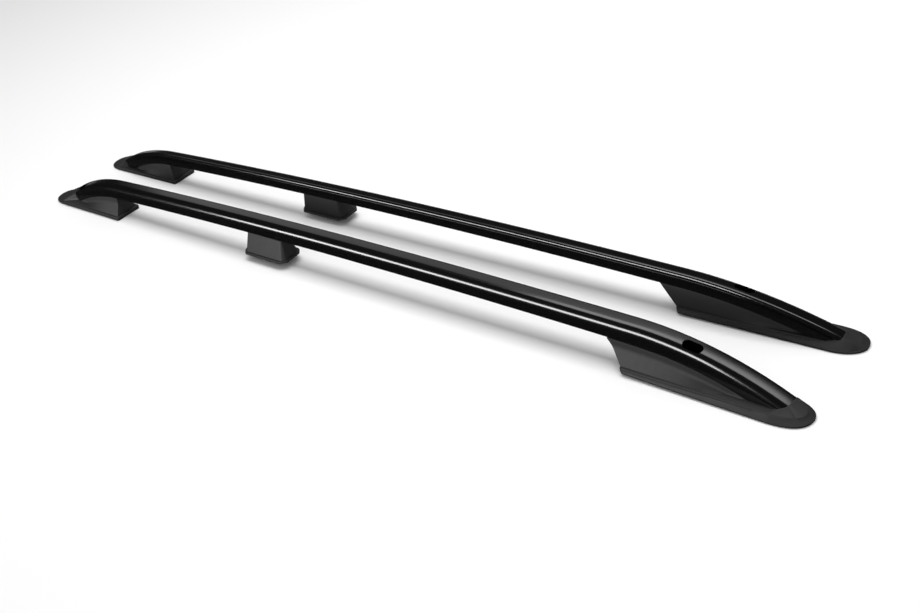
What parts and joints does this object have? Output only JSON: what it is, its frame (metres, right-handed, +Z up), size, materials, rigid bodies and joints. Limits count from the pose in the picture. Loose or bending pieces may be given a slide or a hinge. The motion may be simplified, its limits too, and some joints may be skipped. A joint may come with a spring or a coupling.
{
  "type": "roof side rail pair",
  "caption": "Pair of black roof side rails: bent hollow tubes on moulded end and middle feet, with slots for the mounting bolts.",
  "frame": {"origin": "on the floor, midway between the two rails and midway along them", "axes": "+X along the rails toward their front ends, +Y toward the left rail, +Z up"},
  "size_m": [1.795, 0.225, 0.0808],
  "materials": {
    "tube_paint": "satin black paint on an extruded tube",
    "foot_plastic": "fine textured black",
    "gasket_rubber": "matte",
    "zinc_steel": "zinc plated",
    "plated_insert": "yellow plated"
  },
  "bodies": {
    "root": {"left_tube": "tube_paint", "left_rear_foot": "foot_plastic", "left_rear_gasket": "gasket_rubber", "left_rear_sleeve": "zinc_steel", "left_rear_screws": "zinc_steel", "left_rear_nuts": "plated_insert", "left_mid_foot": "foot_plastic", "left_mid_screws": "zinc_steel", "left_mid_nuts": "plated_insert", "left_front_foot": "foot_plastic", "left_front_gasket": "gasket_rubber", "left_front_sleeve": "zinc_steel", "left_front_screws": "zinc_steel", "left_front_nuts": "plated_insert", "right_tube": "tube_paint", "right_rear_foot": "foot_plastic", "right_rear_gasket": "gasket_rubber", "right_rear_sleeve": "zinc_steel", "right_rear_screws": "zinc_steel", "right_rear_nuts": "plated_insert", "right_mid_foot": "foot_plastic", "right_mid_screws": "zinc_steel", "right_mid_nuts": "plated_insert", "right_front_foot": "foot_plastic", "right_front_gasket": "gasket_rubber", "right_front_sleeve": "zinc_steel", "right_front_screws": "zinc_steel", "right_front_nuts": "plated_insert"}
  },
  "joints": []
}
